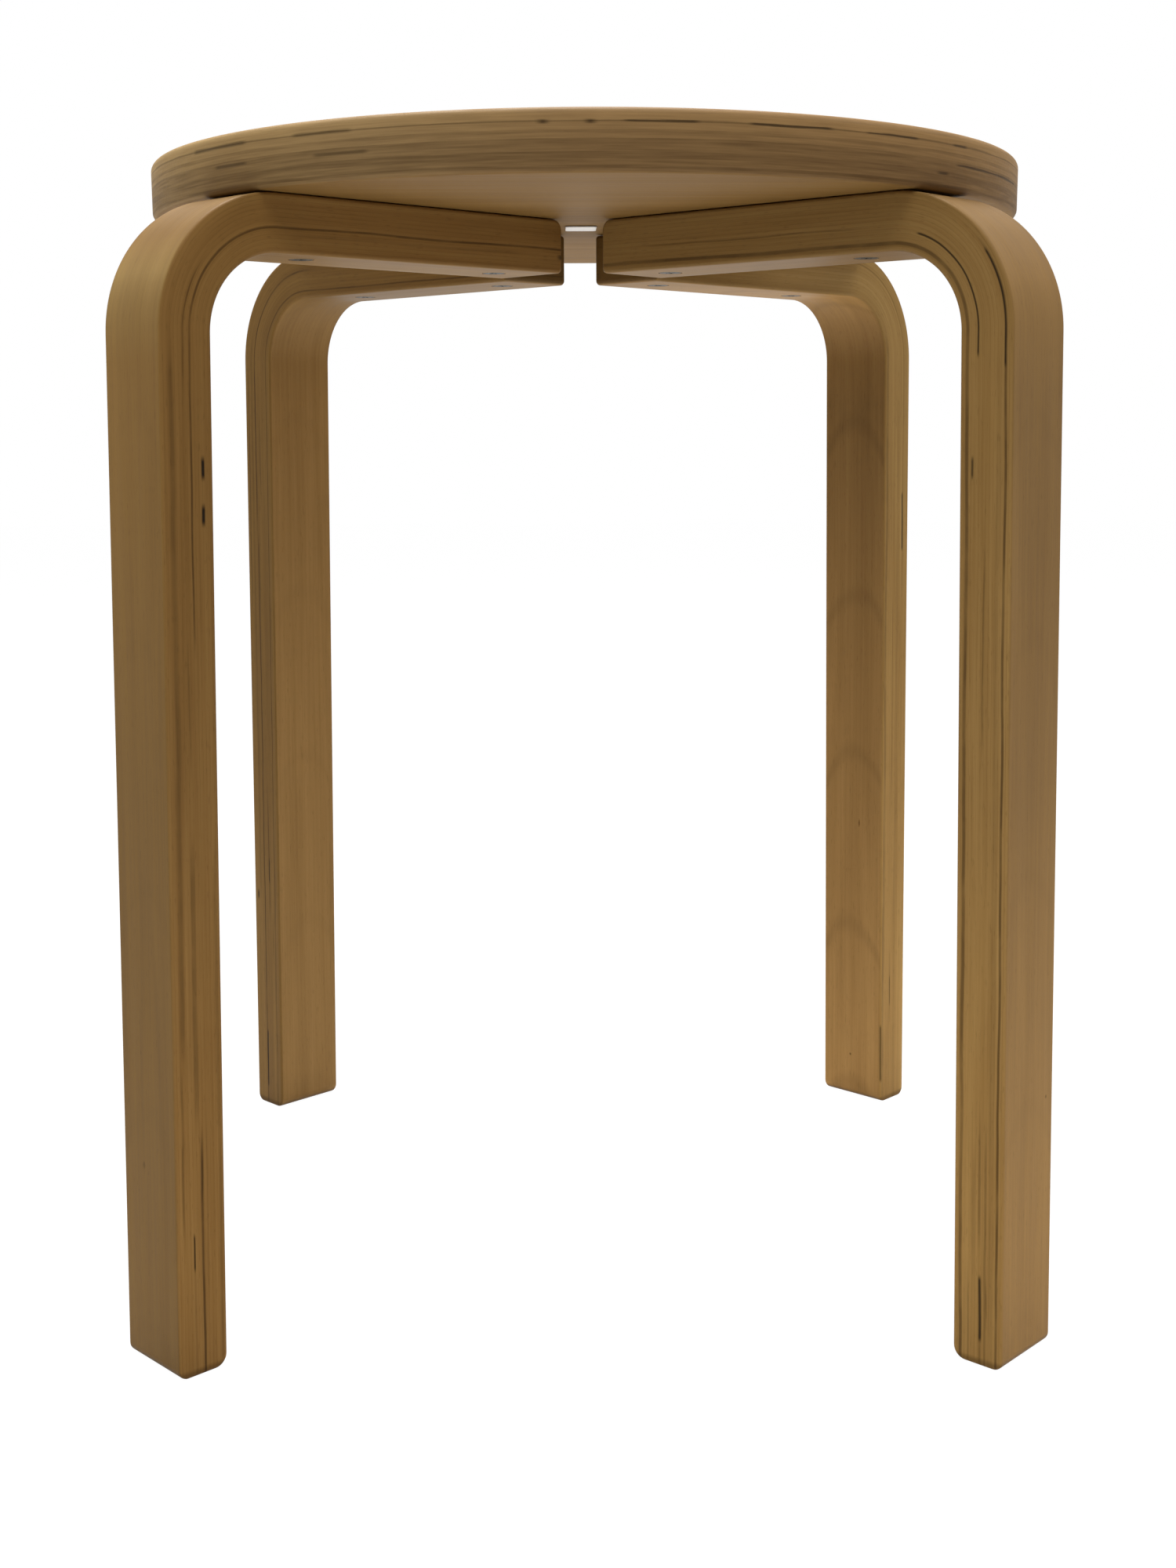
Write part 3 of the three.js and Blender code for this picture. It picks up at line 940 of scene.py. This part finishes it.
def plugMoulded(sizes):
    length, width = (plugHigh.x - plugLow.x) / metresPerMm, (plugHigh.y - plugLow.y) / metresPerMm
    low, top = plugLow.z / metresPerMm, plugHigh.z / metresPerMm
    shape = bmesh.new()
    bmesh.ops.create_cube(shape, size=1)
    bmesh.ops.scale(shape, verts=shape.verts, vec=(length, width, sizes["thickness"]))
    uprights = edgesWhere(shape, lambda e: abs(e.verts[0].co.z - e.verts[1].co.z) > 0.1)
    softenEdges(shape, uprights, sizes["corner"], 8)
    under = edgesWhere(shape, lambda e: all(v.co.z < 0 for v in e.verts))
    softenEdges(shape, under, sizes["edge"], 2)
    bmesh.ops.translate(shape, verts=shape.verts, vec=(0, 0, low + sizes["thickness"] / 2))
    foot = low + sizes["thickness"] * 0.5
    bmesh.ops.create_cone(
        shape, cap_ends=True, segments=48, radius1=sizes["stemDiameter"] / 2,
        radius2=sizes["stemDiameter"] / 2, depth=top - foot,
        matrix=Matrix.Translation((0, 0, (top + foot) / 2)),
    )
    bmesh.ops.scale(shape, verts=shape.verts, vec=(metresPerMm,) * 3)
    return shape


def plasticMaterial():
    material, tree = newMaterial("mouldedPolyethylene")
    mottle = addNode(
        tree, "TexNoise",
        {"Vector": millimetres(tree), "Scale": 1 / whitePlastic["mottle"], "Detail": 3.0},
    )
    base = stained(tree, mottle, colour(whitePlastic["deep"]), colour(whitePlastic["pale"]))
    soft = whitePlastic["roughness"]
    rough = addNode(tree, "MapRange", (mottle, 0.3, 0.7, soft - 0.05, soft + 0.07))
    bump = addNode(tree, "Bump", {"Strength": 0.08, "Distance": 0.0001, "Height": mottle})
    surface = addNode(
        tree, "BsdfPrincipled",
        {"Base Color": base, "Roughness": rough, "IOR": 1.51, "Normal": bump},
    )
    finishMaterial(tree, surface)
    return material


plug = meshPiece("seatPlug", plugMoulded(plugShape))
shade(plug.data, lambda face: abs(face.normal.z) > 0.999)
dress(plug, plasticMaterial(), "centre_plug")
print("plug fitted")


# Floor, world and lamps

studio = {
    "floorSize": 14.0,
    "floorTone": 0.8,        # what the floor gives back to the object
    "floorWhite": 1.12,
    "shadowShare": 0.12,     # how much of the floor's own shading the camera sees
    "worldStrength": 0.12,
}
lamps = {   # place and width in metres, power in watts
    "overhead": ((-0.15, 0.55, 1.85), 0.9, 44),
    "overheadFront": ((0.0, -0.9, 1.8), 1.0, 10),
    "leftSide": ((-1.1, -0.1, 1.6), 0.9, 3.5),
    "rightSide": ((1.1, -0.1, 1.6), 0.9, 10),
    "leftFront": ((-1.2, -1.2, 0.7), 1.0, 1.5),
}


def seenDirectly(tree):
    light = addNode(tree, "LightPath").outputs
    mirrored = addNode(
        tree, "Math", (light["Is Glossy Ray"], light["Is Transmission Ray"]), operation="MAXIMUM",
    )
    return addNode(tree, "Math", (light["Is Camera Ray"], mirrored), operation="MAXIMUM")


def makeFloor(setup):
    shape = bmesh.new()
    bmesh.ops.create_grid(shape, x_segments=1, y_segments=1, size=setup["floorSize"] / 2)
    bmesh.ops.translate(shape, verts=shape.verts, vec=(0, 0, -0.0002))
    floor = meshPiece("floor", shape)
    material, tree = newMaterial("paleStudioFloor")
    tone = setup["floorTone"]
    lit = addNode(tree, "BsdfDiffuse", {"Color": (tone, tone, tone, 1)})
    white = addNode(tree, "Emission", {"Color": (1, 1, 1, 1), "Strength": setup["floorWhite"]})
    share = addNode(tree, "Math", (seenDirectly(tree), 1 - setup["shadowShare"]), operation="MULTIPLY")
    finishMaterial(tree, addNode(tree, "MixShader", (share, lit, white)))
    floor.data.materials.append(material)


def makeWorld(setup):
    world = bpy.data.worlds.new("studio")
    bpy.context.scene.world = world
    world.use_nodes = True
    tree = world.node_tree
    tree.nodes.clear()
    around = addNode(
        tree, "Background", {"Color": (1, 1, 1, 1), "Strength": setup["worldStrength"]},
    )
    behind = addNode(tree, "Background", {"Color": (1, 1, 1, 1), "Strength": 1.0})
    surface = addNode(tree, "MixShader", (seenDirectly(tree), around, behind))
    addNode(tree, "OutputWorld", {"Surface": surface})


def addLamp(name, place, size, power):
    lamp = bpy.data.lights.new(name, "AREA")
    lamp.shape = "SQUARE"
    lamp.size = size
    lamp.energy = power
    lamp.color = (1, 1, 1)
    holder = bpy.data.objects.new(name, lamp)
    holder.location = place
    aim = Vector((0, 0, 0.25)) - Vector(place)
    holder.rotation_euler = aim.to_track_quat("-Z", "Y").to_euler()
    bpy.context.collection.objects.link(holder)


makeFloor(studio)
makeWorld(studio)
for name, (place, size, power) in lamps.items():
    addLamp(name, place, size, power)
bpy.context.scene.view_settings.view_transform = "Standard"
print("studio lit")
